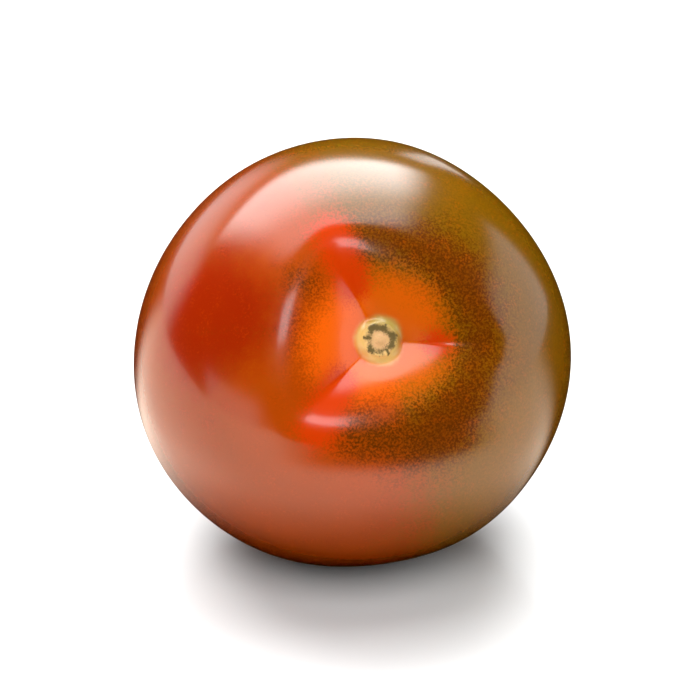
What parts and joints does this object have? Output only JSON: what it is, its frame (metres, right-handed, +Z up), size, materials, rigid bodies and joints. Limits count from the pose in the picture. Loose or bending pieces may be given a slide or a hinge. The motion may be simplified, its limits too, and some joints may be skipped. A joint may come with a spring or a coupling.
{
  "type": "tomato",
  "caption": "Whole round brown-and-red tomato without its calyx, lying on a small flat spot with the corky stem scar facing forward and up.",
  "frame": {"origin": "on the surface that the fruit rests on, under the middle of the fruit's box", "axes": "+Z up, -Y to the front, which the stem end faces at 33 degrees above the level, +X to the right of someone looking at the stem end from the front"},
  "size_m": [0.0624, 0.0592, 0.0612],
  "materials": {
    "skin": "glossy ripe skin, red-orange to olive brown, with a red star along the creases and a beige corky scar"
  },
  "bodies": {
    "root": {"tomato": "skin"}
  },
  "joints": []
}
